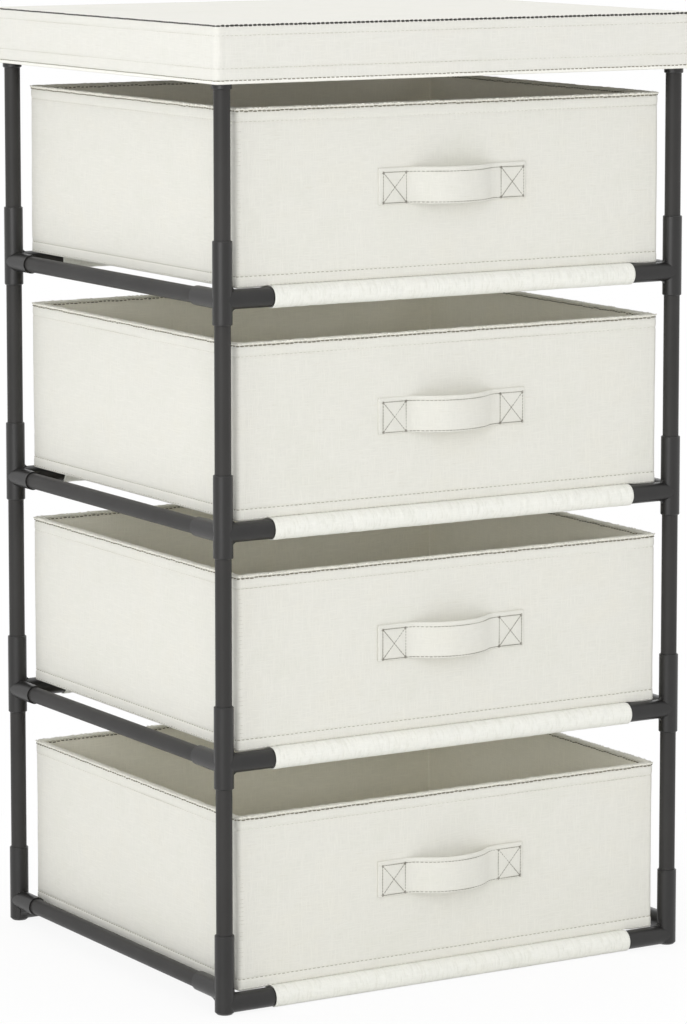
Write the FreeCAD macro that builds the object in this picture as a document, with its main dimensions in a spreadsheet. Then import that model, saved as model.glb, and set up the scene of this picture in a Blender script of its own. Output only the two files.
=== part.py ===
import FreeCAD
import Part
import Sketcher
import math
import os

from FreeCAD import Vector

# A storage unit: a light rack of steel tubes plugged into plastic connectors carries four cloth
# shelves, each with an open fabric basket on it, and a fabric-covered lid on top.
# X runs to the right along the front, Y to the back and Z up. The origin is on the floor, under
# the middle of the lid. Lengths are in millimetres.

SIZES = {
    # outside of the unit, which the lid sets
    "unit_width": 410.0,
    "unit_depth": 345.0,
    "unit_height": 710.0,
    # lid: a cloth cover over a board that lies on the connectors
    "lid_frame_play": 1.8,
    "lid_skirt_height": 41.7,
    "lid_skirt_cloth": 2.0,
    "lid_top_cloth": 1.0,
    "lid_board_thickness": 10.0,
    "lid_board_play": 0.3,
    "lid_seat_gap": 0.3,
    "lid_corner_radius": 4.0,
    # steel tubes
    "tube_diameter": 12.0,
    "tube_wall": 0.8,
    "tube_end_gap": 0.3,
    # plastic connectors: a sleeve on each post and two arms
    "socket_play": 0.1,
    "sleeve_wall": 1.1,
    "sleeve_above": 41.8,
    "sleeve_below": 18.0,
    "arm_wall": 1.05,
    "cross_arm_length": 38.4,
    "front_side_arm_length": 36.0,
    "rear_side_arm_length": 30.0,
    "arm_socket_floor": 1.0,
    "foot_height": 16.1,
    "top_cap_height": 16.1,
    "mouth_bevel": 0.5,
    "foot_bevel": 1.5,
    "web_radius": 4.5,
    "web_thickness": 3.0,
    "web_sink": 0.5,
    "foot_web_thickness": 6.0,
    # cloth shelves: a panel with a sewn sleeve round the front and the rear tube
    "shelf_cloth": 1.6,
    "shelf_tube_play": 0.4,
    "shelf_end_gap": 0.4,
    "floor_gap": 0.1,
    # baskets
    "basket_headroom": 23.8,
    "basket_side_play": 5.0,
    "basket_front_setback": 1.6,
    "basket_rear_setback": 5.5,
    "basket_shelf_gap": 0.3,
    "basket_wall": 4.0,
    "basket_cloth": 0.9,
    "basket_floor_cloth": 1.2,
    "basket_corner_radius": 2.0,
    "channel_corner_web": 4.0,
    "wall_board_play": 0.1,
    "base_board_thickness": 2.5,
    "base_board_play": 1.0,
    # binding tape on a basket's rim
    "binding_cloth": 0.5,
    "binding_cap": 0.9,
    "binding_drop": 1.9,
    # carrying strap on a basket's front
    "strap_length": 126.2,
    "strap_height": 27.0,
    "strap_thickness": 1.5,
    "strap_free_span": 80.4,
    "strap_bulge": 14.5,
    "strap_root_radius": 18.0,
    "strap_drop": 60.4,
    "strap_shift": -1.2,
}

TIERS = 4
LEVEL_NAMES = ["foot", "lower", "middle", "upper", "top"]
ENDS = {"front": -1, "rear": 1}


class Length:
    """A length together with the sheet formula that gives it."""

    def __init__(self, number, formula):
        self.number = number
        self.formula = formula

    def joined(self, other, number, sign):
        return Length(number, "(%s %s %s)" % (self.formula, sign, formula_of(other)))

    def __add__(self, other):
        return self.joined(other, self.number + number_of(other), "+")

    def __sub__(self, other):
        return self.joined(other, self.number - number_of(other), "-")

    def __mul__(self, other):
        return self.joined(other, self.number * number_of(other), "*")

    def __truediv__(self, other):
        return self.joined(other, self.number / number_of(other), "/")

    def __neg__(self):
        return Length(-self.number, "(-%s)" % self.formula)


def number_of(value):
    return value.number if isinstance(value, Length) else float(value)


def formula_of(value):
    return value.formula if isinstance(value, Length) else repr(value)


doc = FreeCAD.newDocument("basket_storage_unit")


def driving_sheet():
    """The spreadsheet of driving dimensions, one alias for each."""
    sheet = doc.addObject("Spreadsheet::Sheet", "sizes")
    for row, (alias, value) in enumerate(SIZES.items(), start=1):
        sheet.set("A%d" % row, alias)
        sheet.set("B%d" % row, str(value))
        sheet.setAlias("B%d" % row, alias)
    return sheet


sizes = driving_sheet()
doc.recompute()


def size(alias):
    return Length(SIZES[alias], "sizes." + alias)


def bind(feature, name, value):
    """Tie a property of a feature to the sheet."""
    if isinstance(value, Length):
        feature.setExpression(name, value.formula)


def new_body(label, place):
    body = doc.addObject("PartDesign::Body", label)
    body.Label = label
    for axis, value in zip("xyz", place):
        bind(body, "Placement.Base." + axis, value)
    return body


def plane(body, role):
    for feature in body.Origin.OriginFeatures:
        if feature.Role == role:
            return feature
    raise ValueError(role)


def new_sketch(body, role, along_normal=0, upward=0):
    """A sketch on one of the body's own planes, moved along its normal or up its Y axis."""
    sketch = body.newObject("Sketcher::SketchObject", body.Name + "_sketch")
    sketch.AttachmentSupport = [(plane(body, role), "")]
    sketch.MapMode = "FlatFace"
    bind(sketch, "AttachmentOffset.Base.z", along_normal)
    bind(sketch, "AttachmentOffset.Base.y", upward)
    return sketch


def pin(sketch, edge, end, point):
    """Hold one end of an edge at a point that is given by two lengths."""
    for kind, axis, value in (("DistanceX", -2, point[0]), ("DistanceY", -1, point[1])):
        if number_of(value) == 0:
            sketch.addConstraint(Sketcher.Constraint("PointOnObject", edge, end, axis))
        else:
            number = number_of(value)
            index = sketch.addConstraint(Sketcher.Constraint(kind, -1, 1, edge, end, number))
            bind(sketch, "Constraints[%d]" % index, value)


def loop(sketch, points, arcs=None):
    """A closed outline through points; arcs maps an edge's index to its centre and radius."""
    arcs = arcs or {}
    spots = [Vector(number_of(x), number_of(y), 0) for x, y in points]
    ends = []
    for index, start in enumerate(spots):
        finish = spots[(index + 1) % len(spots)]
        if index not in arcs:
            ends.append((sketch.addGeometry(Part.LineSegment(start, finish)), 1, 2))
            continue
        centre, radius = arcs[index]
        middle = Vector(number_of(centre[0]), number_of(centre[1]), 0)
        circle = Part.Circle(middle, Vector(0, 0, 1), number_of(radius))
        turns = [math.atan2(spot.y - middle.y, spot.x - middle.x) for spot in (start, finish)]
        forward = (start - middle).cross(finish - middle).z > 0
        if not forward:
            turns.reverse()
        edge = sketch.addGeometry(Part.ArcOfCircle(circle, turns[0], turns[1]))
        ends.append((edge, 1, 2) if forward else (edge, 2, 1))
        held = sketch.addConstraint(Sketcher.Constraint("Radius", edge, number_of(radius)))
        bind(sketch, "Constraints[%d]" % held, radius)
    for index, (edge, start, finish) in enumerate(ends):
        onward = ends[(index + 1) % len(ends)]
        sketch.addConstraint(Sketcher.Constraint("Coincident", edge, finish, onward[0], onward[1]))
        pin(sketch, edge, start, points[index])


def ring(sketch, centre, radius):
    """A full circle about a point that is given by two lengths."""
    middle = Vector(number_of(centre[0]), number_of(centre[1]), 0)
    circle = Part.Circle(middle, Vector(0, 0, 1), number_of(radius))
    edge = sketch.addGeometry(circle)
    pin(sketch, edge, 3, centre)
    held = sketch.addConstraint(Sketcher.Constraint("Radius", edge, number_of(radius)))
    bind(sketch, "Constraints[%d]" % held, radius)


def rounded_rectangle(sketch, half_x, half_y, radius):
    """A rectangle about the sketch's origin, its four corners rounded."""
    inner_x = half_x - radius
    inner_y = half_y - radius
    points = [
        (-inner_x, -half_y),
        (inner_x, -half_y),
        (half_x, -inner_y),
        (half_x, inner_y),
        (inner_x, half_y),
        (-inner_x, half_y),
        (-half_x, inner_y),
        (-half_x, -inner_y),
    ]
    arcs = {
        1: ((inner_x, -inner_y), radius),
        3: ((inner_x, inner_y), radius),
        5: ((-inner_x, inner_y), radius),
        7: ((-inner_x, -inner_y), radius),
    }
    loop(sketch, points, arcs)


def rectangle(sketch, low_x, high_x, low_y, high_y):
    loop(sketch, [(low_x, low_y), (high_x, low_y), (high_x, high_y), (low_x, high_y)])


def pad(body, sketch, length, both_ways=False):
    feature = body.newObject("PartDesign::Pad", body.Name + "_pad")
    feature.Profile = sketch
    if both_ways:
        feature.SideType = "Symmetric"
    feature.Length = number_of(length)
    bind(feature, "Length", length)


def pocket(body, sketch, length, along_normal=False):
    """A cut from a sketch's plane, against its normal unless along_normal is set."""
    feature = body.newObject("PartDesign::Pocket", body.Name + "_pocket")
    feature.Profile = sketch
    feature.Reversed = along_normal
    feature.Length = number_of(length)
    bind(feature, "Length", length)


def revolution(body, sketch, axis):
    feature = body.newObject("PartDesign::Revolution", body.Name + "_turned")
    feature.Profile = sketch
    feature.ReferenceAxis = (sketch, [axis])
    feature.Angle = 360


tube_radius = size("tube_diameter") / 2
bore_radius = tube_radius - size("tube_wall")
socket_radius = tube_radius + size("socket_play")
sleeve_radius = socket_radius + size("sleeve_wall")
arm_radius = socket_radius + size("arm_wall")
socket_stop = sleeve_radius + size("arm_socket_floor")
rail_inset = socket_stop + size("tube_end_gap")
lid_overhang = sleeve_radius + size("lid_frame_play") + size("lid_skirt_cloth")
post_x = size("unit_width") / 2 - lid_overhang
post_y = size("unit_depth") / 2 - lid_overhang
lid_stack = size("lid_top_cloth") + size("lid_board_thickness") + size("lid_seat_gap")
top_axis = size("unit_height") - lid_stack - size("top_cap_height")
pitch = (top_axis - size("foot_height")) / TIERS
shelf_bore = tube_radius + size("shelf_tube_play")
shelf_radius = shelf_bore + size("shelf_cloth")


def level_axis(level):
    """Height of the side tubes' axis at a level, counted from the floor up."""
    return size("foot_height") + pitch * level


def cross_axis(level):
    """Height of the front and rear tubes' axis: the lowest pair lies just over the floor."""
    if level == 0:
        return size("floor_gap") + arm_radius
    return level_axis(level)


def tubes(label, role, centres, length, place, both_ways):
    """Parallel tubes of one length as separate solids of one body."""
    body = new_body(label, place)
    sketch = new_sketch(body, role)
    for centre in centres:
        ring(sketch, centre, tube_radius)
        ring(sketch, centre, bore_radius)
    pad(body, sketch, length, both_ways)
    return body


def post_tubes(tier):
    """The four upright tubes between one level and the next."""
    centres = [(post_x * side, post_y * end) for side in (-1, 1) for end in (-1, 1)]
    length = level_axis(tier + 1) - level_axis(tier) - size("tube_end_gap") * 2
    place = (0, 0, level_axis(tier) + size("tube_end_gap"))
    return tubes("post_tubes_tier_%d" % (tier + 1), "XY_Plane", centres, length, place, False)


def side_tubes(level):
    """The left and the right tube of a level, from front to back."""
    centres = [(-post_x, 0), (post_x, 0)]
    length = (post_y - rail_inset) * 2
    label = "side_tubes_" + LEVEL_NAMES[level]
    return tubes(label, "XZ_Plane", centres, length, (0, 0, level_axis(level)), True)


def cross_tubes(level):
    """The front and the rear tube of a level, from left to right."""
    centres = [(-post_y, 0), (post_y, 0)]
    length = (post_x - rail_inset) * 2
    label = "cross_tubes_" + LEVEL_NAMES[level]
    return tubes(label, "YZ_Plane", centres, length, (0, 0, cross_axis(level)), True)


def turned_sleeve(body, low, high, low_bevel, high_bevel):
    """The upright sleeve of a connector as a turned shape with bevelled ends."""
    sketch = new_sketch(body, "XZ_Plane")
    points = [
        (0, low),
        (sleeve_radius - low_bevel, low),
        (sleeve_radius, low + low_bevel),
        (sleeve_radius, high - high_bevel),
        (sleeve_radius - high_bevel, high),
        (0, high),
    ]
    loop(sketch, points)
    revolution(body, sketch, "V_Axis")


def turned_arm(body, role, way, length, height):
    """One arm of a connector; way is 1 or -1 along the plane's first axis."""
    sketch = new_sketch(body, role, upward=height)
    tip = length * way
    loop(sketch, [(0, 0), (tip, 0), (tip, arm_radius), (0, arm_radius)])
    revolution(body, sketch, "H_Axis")


def corner_web(body, role, way, rise, height, radius, thickness):
    """A thin web with a hollow curve between an arm and the sleeve, over or under the arm."""
    reach = sleeve_radius + radius - size("web_sink")
    climb = arm_radius + radius - size("web_sink")
    points = [
        (0, 0),
        (reach * way, 0),
        (reach * way, (climb - radius) * rise),
        ((reach - radius) * way, climb * rise),
        (0, climb * rise),
    ]
    sketch = new_sketch(body, role, upward=height)
    loop(sketch, points, {2: ((reach * way, climb * rise), radius)})
    pad(body, sketch, thickness, both_ways=True)


def arm_socket(body, role, way, length, height):
    """The blind socket in an arm; an upright plane's normal may point against the arm."""
    sketch = new_sketch(body, role, along_normal=length * way, upward=height)
    ring(sketch, (0, 0), socket_radius)
    pocket(body, sketch, length - socket_stop, along_normal=way < 0)


def post_socket(body, mouth, depth, downward):
    """A socket along the post, cut from its mouth."""
    sketch = new_sketch(body, "XY_Plane", along_normal=mouth)
    ring(sketch, (0, 0), socket_radius)
    pocket(body, sketch, depth, along_normal=not downward)


def connector(level, end):
    """The right-hand connector of a level, with its arms turned to the left and inward."""
    place = (post_x, post_y * ENDS[end], level_axis(level))
    body = new_body("%s_connector_%s" % (LEVEL_NAMES[level], end), place)
    inward = -ENDS[end]
    drop = cross_axis(level) - level_axis(level) if level == 0 else 0
    lowest = -size("foot_height") if level == 0 else -size("sleeve_below")
    highest = size("top_cap_height") if level == TIERS else size("sleeve_above")
    low_bevel = size("foot_bevel") if level == 0 else size("mouth_bevel")
    high_bevel = size("foot_bevel") if level == TIERS else size("mouth_bevel")
    side_arm = size(end + "_side_arm_length")
    cross_arm = size("cross_arm_length")

    turned_sleeve(body, lowest, highest, low_bevel, high_bevel)
    turned_arm(body, "XZ_Plane", -1, cross_arm, drop)
    turned_arm(body, "YZ_Plane", inward, side_arm, 0)
    web = (size("web_radius"), size("web_thickness"))
    if level == 0:
        foot_web = size("foot_height") - arm_radius - size("foot_bevel")
        corner_web(body, "YZ_Plane", inward, -1, 0, foot_web, size("foot_web_thickness"))
    else:
        corner_web(body, "XZ_Plane", -1, -1, drop, *web)
    if level < TIERS:
        corner_web(body, "XZ_Plane", -1, 1, drop, *web)

    arm_socket(body, "YZ_Plane", -1, cross_arm, drop)
    arm_socket(body, "XZ_Plane", ENDS[end], side_arm, 0)
    if level == 0:
        post_socket(body, highest, highest, downward=True)
    elif level == TIERS:
        post_socket(body, lowest, -lowest, downward=False)
    else:
        post_socket(body, highest, highest - lowest, downward=True)
    return body


def connector_pair(level, end):
    """The right-hand connector and its mirror image on the left."""
    right = connector(level, end)
    left = doc.addObject("Part::Mirroring", right.Name + "_left")
    left.Source = right
    left.Normal = Vector(1, 0, 0)
    pair = doc.addObject("Part::Compound", "%s_connectors_%s" % (LEVEL_NAMES[level], end))
    pair.Links = [left, right]
    return pair


def cloth_shelf(level):
    """A taut cloth panel with a sleeve round each cross tube, flat where it meets the floor."""
    body = new_body("cloth_shelf_%d" % (level + 1), (0, 0, cross_axis(level)))
    end = post_x - size("cross_arm_length") - size("shelf_end_gap")
    panel = new_sketch(body, "YZ_Plane")
    rectangle(panel, -post_y, post_y, shelf_radius - size("shelf_cloth"), shelf_radius)
    pad(body, panel, end * 2, both_ways=True)
    sleeves = new_sketch(body, "YZ_Plane")
    bores = new_sketch(body, "YZ_Plane", along_normal=end)
    for place in (-post_y, post_y):
        ring(sleeves, (place, 0), shelf_radius)
        ring(bores, (place, 0), shelf_bore)
    pad(body, sleeves, end * 2, both_ways=True)
    pocket(body, bores, end * 2)
    if level == 0:
        lowest = -(shelf_radius + size("floor_gap"))
        ground = new_sketch(body, "YZ_Plane", along_normal=end)
        for place in (-post_y, post_y):
            near = -shelf_radius + place
            rectangle(ground, near, shelf_radius + place, lowest, -arm_radius)
        pocket(body, ground, end * 2)
    return body


lid_half_x = size("unit_width") / 2
lid_half_y = size("unit_depth") / 2
lid_bottom = size("unit_height") - size("lid_skirt_height")


def lid_cover():
    """The cloth cover of the lid: a top with a stiffened skirt all round."""
    body = new_body("lid_cover", (0, 0, lid_bottom))
    outer = new_sketch(body, "XY_Plane")
    rounded_rectangle(outer, lid_half_x, lid_half_y, size("lid_corner_radius"))
    pad(body, outer, size("lid_skirt_height"))
    inner = new_sketch(body, "XY_Plane")
    cloth = size("lid_skirt_cloth")
    radius = size("lid_corner_radius") - cloth
    rounded_rectangle(inner, lid_half_x - cloth, lid_half_y - cloth, radius)
    depth = size("lid_skirt_height") - size("lid_top_cloth")
    pocket(body, inner, depth, along_normal=True)
    return body


def lid_board():
    """The board under the cover's top, which lies on the four top connectors."""
    thickness = size("lid_board_thickness")
    body = new_body("lid_board", (0, 0, size("unit_height") - size("lid_top_cloth") - thickness))
    inset = size("lid_skirt_cloth") + size("lid_board_play")
    sketch = new_sketch(body, "XY_Plane")
    rounded_rectangle(
        sketch, lid_half_x - inset, lid_half_y - inset, size("lid_corner_radius") - inset
    )
    pad(body, sketch, thickness)
    return body


basket_height = pitch - shelf_radius * 2 - size("basket_shelf_gap") - size("basket_headroom")
basket_half_x = post_x - sleeve_radius - size("basket_side_play")
basket_front = size("basket_front_setback") - post_y
basket_back = post_y - size("basket_rear_setback")
basket_half_y = (basket_back - basket_front) / 2
basket_middle = (basket_back + basket_front) / 2
basket_wall_top = basket_height - size("binding_cap")
channel_inset = size("basket_cloth")
channel_width = size("basket_wall") - channel_inset * 2
channel_depth = basket_wall_top - size("basket_floor_cloth")


def basket_floor(level):
    return cross_axis(level) + shelf_radius + size("basket_shelf_gap")


def basket_label(level, piece):
    return "basket_%d_%s" % (level + 1, piece)


def wall_strips(play):
    """The four board places in a basket's walls, as boxes in plan that play draws in."""
    outer_x = basket_half_x - channel_inset - play
    outer_y = basket_half_y - channel_inset - play
    inner_x = basket_half_x - channel_inset - channel_width + play
    inner_y = basket_half_y - channel_inset - channel_width + play
    end_x = basket_half_x - size("basket_wall") - size("channel_corner_web") - play
    end_y = basket_half_y - size("basket_wall") - size("channel_corner_web") - play
    return {
        "front": (-end_x, end_x, -outer_y, -inner_y),
        "back": (-end_x, end_x, inner_y, outer_y),
        "left": (-outer_x, -inner_x, -end_y, end_y),
        "right": (inner_x, outer_x, -end_y, end_y),
    }


def basket_cover(level):
    """The sewn fabric box, its double walls open at the top where the boards slide in."""
    place = (0, basket_middle, basket_floor(level))
    body = new_body(basket_label(level, "cover"), place)
    outer = new_sketch(body, "XY_Plane")
    rounded_rectangle(outer, basket_half_x, basket_half_y, size("basket_corner_radius"))
    pad(body, outer, basket_wall_top)
    inside = new_sketch(body, "XY_Plane", along_normal=basket_wall_top)
    half_x = basket_half_x - size("basket_wall")
    half_y = basket_half_y - size("basket_wall")
    rectangle(inside, -half_x, half_x, -half_y, half_y)
    pocket(body, inside, channel_depth)
    channels = new_sketch(body, "XY_Plane", along_normal=basket_wall_top)
    for strip in wall_strips(0).values():
        rectangle(channels, *strip)
    pocket(body, channels, channel_depth)
    return body


def basket_wall_boards(level):
    """The four stiffening boards in the walls of a basket."""
    floor = basket_floor(level) + size("basket_floor_cloth")
    body = new_body(basket_label(level, "wall_boards"), (0, basket_middle, floor))
    sketch = new_sketch(body, "XY_Plane")
    for strip in wall_strips(size("wall_board_play")).values():
        rectangle(sketch, *strip)
    pad(body, sketch, channel_depth - size("wall_board_play"))
    return body


def basket_base_board(level):
    """The loose covered board that keeps a basket's floor flat."""
    floor = basket_floor(level) + size("basket_floor_cloth")
    body = new_body(basket_label(level, "base_board"), (0, basket_middle, floor))
    inset = size("basket_wall") + size("base_board_play")
    sketch = new_sketch(body, "XY_Plane")
    half_x = basket_half_x - inset
    half_y = basket_half_y - inset
    rectangle(sketch, -half_x, half_x, -half_y, half_y)
    pad(body, sketch, size("base_board_thickness"))
    return body


def basket_binding(level):
    """The tape folded over the rim, which closes the pockets of the boards."""
    drop = size("binding_drop")
    bottom = basket_floor(level) + basket_height - drop
    body = new_body(basket_label(level, "rim_binding"), (0, basket_middle, bottom))
    tape = size("binding_cloth")
    outer = new_sketch(body, "XY_Plane")
    rounded_rectangle(
        outer, basket_half_x + tape, basket_half_y + tape, size("basket_corner_radius") + tape
    )
    pad(body, outer, drop)
    inside = new_sketch(body, "XY_Plane", along_normal=drop)
    inset = size("basket_wall") + tape
    half_x = basket_half_x - inset
    half_y = basket_half_y - inset
    rectangle(inside, -half_x, half_x, -half_y, half_y)
    pocket(body, inside, drop)
    groove = new_sketch(body, "XY_Plane")
    rounded_rectangle(groove, basket_half_x, basket_half_y, size("basket_corner_radius"))
    half_x = basket_half_x - size("basket_wall")
    half_y = basket_half_y - size("basket_wall")
    rectangle(groove, -half_x, half_x, -half_y, half_y)
    pocket(body, groove, drop - size("binding_cap"), along_normal=True)
    return body


def basket_handle(level):
    """The carrying strap: flat sewn ends and a free span that bows out from the front."""
    half = size("strap_thickness") / 2
    root = size("strap_root_radius")
    half_span = size("strap_free_span") / 2
    bulge = size("strap_bulge")
    end = size("strap_length") / 2
    squares = half_span * half_span + bulge * bulge
    crown = squares / (bulge * 2) - root
    sine = half_span * bulge * 2 / squares
    fall = bulge * bulge * 2 / squares
    cosine = (half_span * half_span - bulge * bulge) / squares
    joint_x = crown * sine
    joint_y = bulge - crown * fall

    def joint(side, offset):
        return ((joint_x + sine * offset) * side, -(joint_y + cosine * offset))

    points = [
        (-end, half),
        (-half_span, half),
        joint(-1, -half),
        joint(1, -half),
        (half_span, half),
        (end, half),
        (end, -half),
        (half_span, -half),
        joint(1, half),
        joint(-1, half),
        (-half_span, -half),
        (-end, -half),
    ]
    crown_centre = (0, crown - bulge)
    left_root = (-half_span, -root)
    right_root = (half_span, -root)
    arcs = {
        1: (left_root, root + half),
        2: (crown_centre, crown - half),
        3: (right_root, root + half),
        7: (right_root, root - half),
        8: (crown_centre, crown + half),
        9: (left_root, root - half),
    }
    height = basket_floor(level) + basket_height - size("strap_drop")
    place = (size("strap_shift"), basket_front - half, height)
    body = new_body(basket_label(level, "handle"), place)
    sketch = new_sketch(body, "XY_Plane")
    loop(sketch, points, arcs)
    pad(body, sketch, size("strap_height"), both_ways=True)
    return body


def build():
    """All sub-parts, from the floor up."""
    pieces = []
    for level in range(TIERS + 1):
        for end in ENDS:
            pieces.append(connector_pair(level, end))
        pieces.append(side_tubes(level))
        pieces.append(cross_tubes(level))
    for level in range(TIERS):
        pieces.append(post_tubes(level))
        pieces.append(cloth_shelf(level))
        pieces.append(basket_cover(level))
        pieces.append(basket_wall_boards(level))
        pieces.append(basket_base_board(level))
        pieces.append(basket_binding(level))
        pieces.append(basket_handle(level))
    pieces.append(lid_cover())
    pieces.append(lid_board())
    return pieces


def check(pieces):
    """Stop if any feature failed or any sub-part's shape isn't sound."""
    for feature in doc.Objects:
        if "Invalid" in feature.State or "Error" in feature.State:
            raise RuntimeError("failed: " + feature.Label)
    for piece in pieces:
        if piece.Shape.isNull() or not piece.Shape.isValid():
            raise RuntimeError("unsound shape: " + piece.Label)


pieces = build()
doc.recompute()
check(pieces)
os.makedirs("parts", exist_ok=True)
for piece in pieces:
    piece.Shape.exportStep("parts/%s.step" % piece.Label)
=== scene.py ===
import math
import random

import bpy
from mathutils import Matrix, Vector, noise


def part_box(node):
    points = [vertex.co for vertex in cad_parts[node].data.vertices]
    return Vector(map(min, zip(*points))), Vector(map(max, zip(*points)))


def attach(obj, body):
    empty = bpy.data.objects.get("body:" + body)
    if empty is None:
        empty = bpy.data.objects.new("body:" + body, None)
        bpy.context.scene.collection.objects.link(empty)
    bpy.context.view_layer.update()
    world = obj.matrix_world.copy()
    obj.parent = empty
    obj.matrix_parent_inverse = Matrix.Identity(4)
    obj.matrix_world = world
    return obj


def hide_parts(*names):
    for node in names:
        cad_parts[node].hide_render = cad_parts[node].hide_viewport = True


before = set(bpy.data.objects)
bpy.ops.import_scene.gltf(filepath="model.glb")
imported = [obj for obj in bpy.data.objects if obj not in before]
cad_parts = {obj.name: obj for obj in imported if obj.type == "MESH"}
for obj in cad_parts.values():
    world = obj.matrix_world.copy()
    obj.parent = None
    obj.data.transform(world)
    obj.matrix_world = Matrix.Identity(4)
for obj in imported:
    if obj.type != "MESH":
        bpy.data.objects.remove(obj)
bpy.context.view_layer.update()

random.seed(7)

MM = 0.001
BASKETS = (1, 2, 3, 4)
NOISE_GAIN = 1.6         # brings Blender's noise to about -1 to 1


# Small helpers

def box_mm(node):
    """Lowest and highest corner of a CAD node, in millimetres."""
    low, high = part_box(node)
    return [v / MM for v in low], [v / MM for v in high]


def plan(low, high):
    """Half the width, half the depth and the middle of a box, seen from above."""
    middle = ((high[0] + low[0]) / 2, (high[1] + low[1]) / 2, 0)
    return (high[0] - low[0]) / 2, (high[1] - low[1]) / 2, middle


def bump(at, centre, width):
    """A smooth bell of height 1 at the centre."""
    return math.exp(-(((at - centre) / width) ** 2))


def step(at, low, high):
    """0 below low, 1 above high, smooth between."""
    share = min(1.0, max(0.0, (at - low) / (high - low)))
    return share * share * (3 - 2 * share)


def drift(x, y, z, period, seed=0.0):
    """Slow wandering between about -1 and 1, with bumps of about this size in millimetres."""
    place = Vector((x / period + seed, y / period - seed, z / period + seed * 2))
    return noise.noise(place) * NOISE_GAIN


def srgb(red, green, blue):
    """A colour as it looks on a screen, 0 to 255, turned into linear light."""
    def linear(value):
        value /= 255
        return value / 12.92 if value < 0.04045 else ((value + 0.055) / 1.055) ** 2.4
    return (linear(red), linear(green), linear(blue), 1.0)


# Materials

SHEEN_ROUGHNESS = 0.6
PLAIN = (1, 1, 1, 1)     # multiplies a colour without changing it


class Paint:
    """A node material on one Principled shader."""

    def __init__(self, name, roughness, specular=0.5, sheen=0.0):
        self.material = bpy.data.materials.new(name)
        self.material.use_nodes = True
        self.tree = self.material.node_tree
        self.shader = self.tree.nodes["Principled BSDF"]
        self.shader.inputs["Roughness"].default_value = roughness
        self.shader.inputs["Specular IOR Level"].default_value = specular
        if sheen:
            self.shader.inputs["Sheen Weight"].default_value = sheen
            self.shader.inputs["Sheen Roughness"].default_value = SHEEN_ROUGHNESS
        self.place = self.add("TexCoord").outputs["Object"]

    def add(self, kind, **settings):
        """A new node with these settings."""
        made = self.tree.nodes.new("ShaderNode" + kind)
        for key, value in settings.items():
            setattr(made, key, value)
        return made

    def link(self, source, target):
        self.tree.links.new(source, target)

    def feed(self, target, value):
        """Link another node's output to the socket, or set a plain value on it."""
        if hasattr(value, "is_output"):
            self.link(value, target)
        else:
            target.default_value = value

    def math(self, operation, *values):
        """Arithmetic on plain values and other nodes' outputs."""
        made = self.add("Math", operation=operation)
        for target, value in zip(made.inputs, values):
            self.feed(target, value)
        return made.outputs[0]

    def noise(self, periods, detail=2.0, roughness=0.55):
        """Noise whose grains have these sizes in millimetres along x, y and z."""
        scale = self.add("Mapping")
        scale.inputs["Scale"].default_value = [1 / (period * MM) for period in periods]
        self.link(self.place, scale.inputs["Vector"])
        made = self.add("TexNoise")
        made.inputs["Scale"].default_value = 1.0
        made.inputs["Detail"].default_value = detail
        made.inputs["Roughness"].default_value = roughness
        self.link(scale.outputs[0], made.inputs["Vector"])
        return made.outputs["Fac"]

    def ramp(self, source, low, high, colours):
        """The source's range from low to high, as a run of colours."""
        made = self.add("ValToRGB")
        stops = made.color_ramp.elements
        while len(stops) < len(colours):
            stops.new(0.5)
        for index, colour in enumerate(colours):
            stops[index].position = low + (high - low) * index / (len(colours) - 1)
            stops[index].color = colour
        self.feed(made.inputs["Fac"], source)
        return made.outputs["Color"]

    def multiply(self, first, second):
        """Two colours multiplied."""
        made = self.add("Mix", data_type="RGBA", blend_type="MULTIPLY")
        made.inputs["Factor"].default_value = 1.0
        self.feed(made.inputs[6], first)
        self.feed(made.inputs[7], second)
        return made.outputs[2]

    def relief(self, height, depth_mm):
        """Fine relief that only the light sees."""
        made = self.add("Bump")
        made.inputs["Strength"].default_value = 1.0
        made.inputs["Distance"].default_value = depth_mm * MM
        self.link(height, made.inputs["Height"])
        self.link(made.outputs["Normal"], self.shader.inputs["Normal"])

    def uneven_gloss(self, source, low, high):
        """Roughness that follows the source, from low to high."""
        made = self.add("MapRange")
        self.link(source, made.inputs["Value"])
        made.inputs["To Min"].default_value = low
        made.inputs["To Max"].default_value = high
        self.link(made.outputs[0], self.shader.inputs["Roughness"])

    def colour(self, source):
        self.feed(self.shader.inputs["Base Color"], source)


def shade(colour, factor):
    """The colour made darker or lighter."""
    return tuple(min(1.0, channel * factor) for channel in colour[:3]) + (1.0,)


THREAD_RUN = 11          # a thread's unevenness runs this many times its width
THREAD_BLUR = 3          # and reaches this many times its width through a flat cloth
LYING = 0.72             # a face whose normal rises this steeply counts as lying
PATCH_SIZE = (45.0, 45.0, 30.0)
PATCH_CASTS = [(0.982, 0.985, 0.975, 1), PLAIN, (1, 0.996, 0.985, 1)]
SLUB_SIZE = (14.0, 14.0, 1.3)
SLUB = (0.965, 0.96, 0.945, 1)
# Size in millimetres of the streaks of painted crease shade, along x, y and z
CREASE_SHADE_SIZE = (1.5, 26.0, 6.0)


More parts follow.
